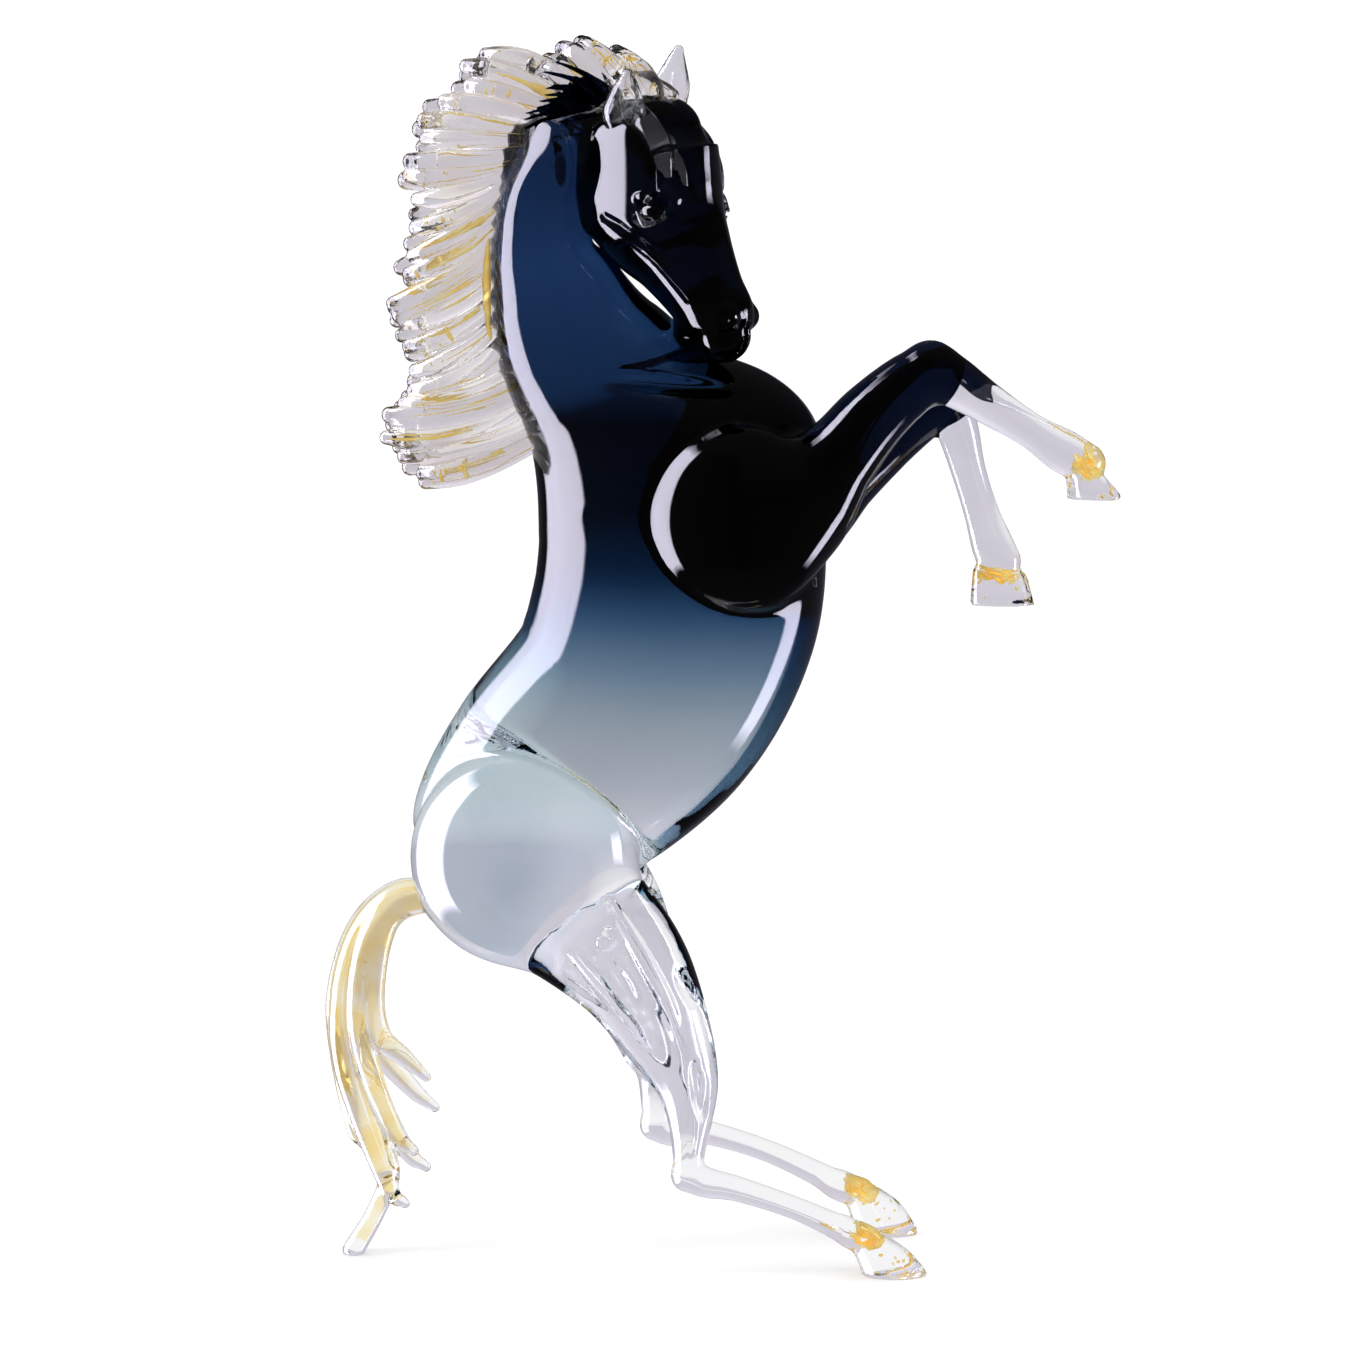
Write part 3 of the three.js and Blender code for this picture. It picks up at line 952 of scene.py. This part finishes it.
def flake(place, size, normal, chance, count=9, wave=0.12):
    """A scrap of leaf with a torn edge, lying across the normal."""
    side = np.cross(normal, [0.3, 0.2, 0.9])
    side /= np.linalg.norm(side)
    other = np.cross(normal, side)
    turn = np.linspace(0, 2 * math.pi, count, endpoint=False) + chance.random()
    reach = size * chance.uniform(0.45, 1.0, count)
    rim = np.outer(np.cos(turn) * reach, side) + np.outer(np.sin(turn) * reach, other)
    rim += np.outer(chance.uniform(-wave, wave, count) * size, normal)
    thick = np.array(normal) * 0.25
    points = np.vstack([place + rim - thick, place + rim + thick, [place - thick, place + thick]])
    low, high = 2 * count, 2 * count + 1
    faces = []
    for i in range(count):
        j = (i + 1) % count
        faces += [(i, j, count + j), (i, count + j, count + i), (j, i, low), (count + i, count + j, high)]
    return points, np.array(faces)


def gathered(parts):
    """Many small closed meshes as one list of points and one of faces."""
    points, faces, start = [], [], 0
    for part_points, part_faces in parts:
        points.append(part_points)
        faces += [tuple(int(v) + start for v in face) for face in part_faces]
        start += len(part_points)
    return np.vstack(points), faces


def mane_gold(locks):
    """Threads of leaf along the ridges, and scraps of it gathered in a few of the tips."""
    chance = np.random.default_rng(11)
    across = np.array([0.0, 1.0, 0.0])
    parts = []
    for path, widths, _ in locks:
        for _ in range(2):
            first = chance.uniform(0.2, 2.2)
            knots = spline(path, np.linspace(first, min(first + chance.uniform(1.5, 3.5), 4.8), 6))[0]
            knots = knots + np.array([0.3, 0, 0.95]) * widths[0] * chance.uniform(-0.9, 0.9)
            knots[:, 1] *= chance.uniform(0.2, 0.75)
            parts.append(ribbon(knots, chance.uniform(0.2, 0.55), 0.25, across))
    for path, _, _ in locks:
        if chance.random() < 0.7:
            continue
        for _ in range(int(chance.integers(3, 9))):
            spot = spline(path, np.array([chance.uniform(2.6, 4.7)]))[0][0] + chance.normal(0, 2.0, 3)
            spot[1] *= chance.uniform(0.2, 0.8)
            parts.append(flake(spot, chance.uniform(0.8, 2.4), across, chance))
    return gathered(parts)


def hoof_gold(hooves):
    """A torn sheet of leaf across each coronet, and scraps of it down the wall of the hoof."""
    chance = np.random.default_rng(3)
    parts = []
    for hoof in hooves:
        slope = np.array([math.sin(hoof.lean), 0, math.cos(hoof.lean)])
        for k in range(7):
            wander = np.array([chance.normal(0, 1.5), chance.normal(0, 1.5), 0])
            middle = hoof.coronet - slope * (2.5 + 1.4 * k) + wander
            parts.append(flake(middle, HOOF_WIDTH * chance.uniform(0.28, 0.37), slope, chance, 19, 0.16))
        for _ in range(26):
            turn = chance.uniform(0, 2 * math.pi)
            climb = chance.uniform(0.1, 0.8)
            middle = hoof.sole + (hoof.coronet - hoof.sole) * climb
            share = (0.5 - 0.1 * climb) * 0.86
            out = np.array([math.cos(turn) * HOOF_LENGTH * share, math.sin(turn) * HOOF_WIDTH * share, 0])
            drop = np.array([0, 0, -out[0] * math.tan(hoof.lean) * climb * 0.8])
            normal = out / np.linalg.norm(out)
            spot = middle + out + drop
            while hoof.distance(spot[None])[0] > -2.6:
                spot = spot + (hoof.middle - spot) * 0.08
            parts.append(flake(spot, chance.uniform(0.8, 2.4), normal, chance))
    return gathered(parts)


def crest_streaks():
    """Dark strokes that fan out from the poll over the root of the mane, near and far."""
    chance = np.random.default_rng(23)
    streaks = []
    for side in (NEAR, FAR):
        for k in range(11):
            climb = math.radians(34 - 4.2 * k + chance.uniform(-1, 1))
            length = 44 + 24 * chance.random()
            rows = []
            for s, width in ((0, 1.6), (0.3, 2.6), (0.65, 1.7), (1.0, 0.5)):
                x = -90 - length * s * math.cos(climb) - 1.5 * k
                z = 934 - 1.2 * k + length * s * math.sin(climb) - 9 * s * s
                rows.append([x, side * (19 + 6 * s), z, width, width * 1.3])
            streaks.append(Limb(rows, NEAR, 1))
    return Field(streaks)


def root_gold():
    """The line of leaf that shows along the near side of the mane's root."""
    path = [mane_line(0, t) + np.array([-7, -19, 0]) for t in np.linspace(0.60, 0.76, 7)]
    return ribbon(path, 3.4, 0.6, np.array([0.0, 1.0, 0.0]))


def forelock():
    shapes = []
    for root, tip, bow, width in FORELOCK:
        rows = []
        for s, fullness in ((0, 0.9), (0.3, 1.0), (0.6, 0.85), (0.85, 0.6), (1.0, 0.35)):
            point = (1 - s) * np.array(root) + s * np.array(tip) + 4 * s * (1 - s) * np.array(bow)
            rows.append([*head_point(point), width * fullness, width * fullness * 0.8])
        shapes.append(Limb(rows, NEAR, 2.5))
    return Field(shapes)


def ears():
    near = Limb([
        [-84, -34, 902, 13, 10],
        [-82, -38, 918, 17, 11],
        [-80, -36, 936, 11, 8],
        [-79, -33, 947, 5, 5],
    ], NEAR, 2)
    far = Limb([
        [-46, 22, 922, 13, 8],
        [-44, 24, 940, 14, 8],
        [-41, 25, 958, 8, 6],
        [-39, 25, 967, 4, 4],
    ], NEAR, 2)
    hollows = [hollow(Ball([-79, -44, 922], [7, 6, 13], 2)), hollow(Ball([-39, 17, 940], [7, 5, 14], 2))]
    return Field([near, far] + hollows)


def amber_glass():
    glass = Glass("amber_glass")
    glass.set(Roughness=0.0, IOR=1.0, Transmission_Weight=1.0)
    stops = [(0.35, (1.0, 0.95, 0.76)), (0.5, (0.99, 0.88, 0.58)), (0.65, (1.0, 0.97, 0.86))]
    glass.ramp(glass.noise(45.0), stops, glass.shader.inputs["Base Color"])
    return glass.material


def gold_leaf():
    glass = Glass("gold_leaf")
    # Painted light: the emission makes the leaf glow, standing in for the light that the glass around it
    # keeps from reaching it
    glass.set(Roughness=0.35, Emission_Color=(1.0, 0.70, 0.20, 1), Emission_Strength=0.25)
    stops = [(0.35, (1.0, 0.66, 0.12)), (0.55, (1.0, 0.84, 0.32)), (0.7, (1.0, 0.94, 0.62))]
    glass.ramp(glass.noise(160.0), stops, glass.shader.inputs["Base Color"])
    return glass.material


# The pieces: clear glass outside, and inside it the coloured glass and the gold
head_shapes = head()
near_leg, far_leg = hind_leg(NEAR), hind_leg(FAR)
near_arm, far_arm = near_foreleg(), far_foreleg()
clear = clear_glass()
navy = core_glass()
ink = ink_glass("ink_glass", 1.1)
black = ink_glass("black_glass", 0.35)
smoky = smoky_glass()
warm = mane_clear_glass()
amber = amber_glass()
gold = gold_leaf()

trunk_and_neck, shoulders = torso()[:4] + chest_fold(), torso()[4:]
body = skin(Field(trunk_and_neck + shoulders + near_arm + far_arm + near_leg + far_leg), BODY_PITCH)
body_piece = to_object("body_glass", *body, clear, "clear_glass")
head_piece = to_object("head_glass", *skin(Field(head_shapes), FINE_PITCH * 0.8), clear, "clear_glass")
to_object("body_core", *skin(Field(trunk_and_neck, casing), BODY_PITCH), navy, "blue_glass")
thigh_cut = hollow(Beyond([-112, 0, 282], [0.68, 0, -0.735], 4))
for name, haunch in (("near", near_leg[:2]), ("far", far_leg[:2])):
    haunch_core = Field(haunch + [thigh_cut], lambda p, value: value + 22)
    to_object(name + "_haunch_core", *skin(haunch_core, BODY_PITCH), smoky, "blue_glass")
for name, shoulder, arm in (("near", shoulders[0], near_arm), ("far", shoulders[1], far_arm)):
    arm_core = Field([shoulder, arm[0]], lambda p, value: value + 2)
    to_object(name + "_arm_core", *skin(arm_core, BODY_PITCH), ink, "blue_glass")
head_core = Field(head_shapes, lambda p, value: value + 2)
to_object("head_core", *skin(head_core, FINE_PITCH * 1.3), black, "blue_glass")
locks = mane_locks()
to_object("mane_glass", *skin(mane(locks), FINE_PITCH, 2), warm, "clear_glass")
strands = tail_strands()
tail = Field([Limb(rows, NEAR, 4) for rows in strands] + [hollow(Under())])
to_object("tail_glass", *skin(tail, FINE_PITCH, 2), clear, "clear_glass")
to_object("tail_core", *skin(thinned(strands, 0.34), FINE_PITCH * 0.8, 2), amber, "amber_glass")
to_object("forelock_glass", *skin(forelock(), FINE_PITCH, 2), clear, "clear_glass")
to_object("ear_glass", *skin(ears(), FINE_PITCH * 0.7, 2), clear, "clear_glass")
hooves = [s for s in near_leg + far_leg + near_arm + far_arm if isinstance(s, Hoof)]
to_object("hoof_gold", *hoof_gold(hooves), gold, "gold_leaf")
to_object("mane_gold", *mane_gold(locks), gold, "gold_leaf")
to_object("root_gold", *root_gold(), gold, "gold_leaf")
to_object("crest_streaks", *skin(crest_streaks(), FINE_PITCH * 0.8, 2), ink, "blue_glass")
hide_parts("horse")

studio()
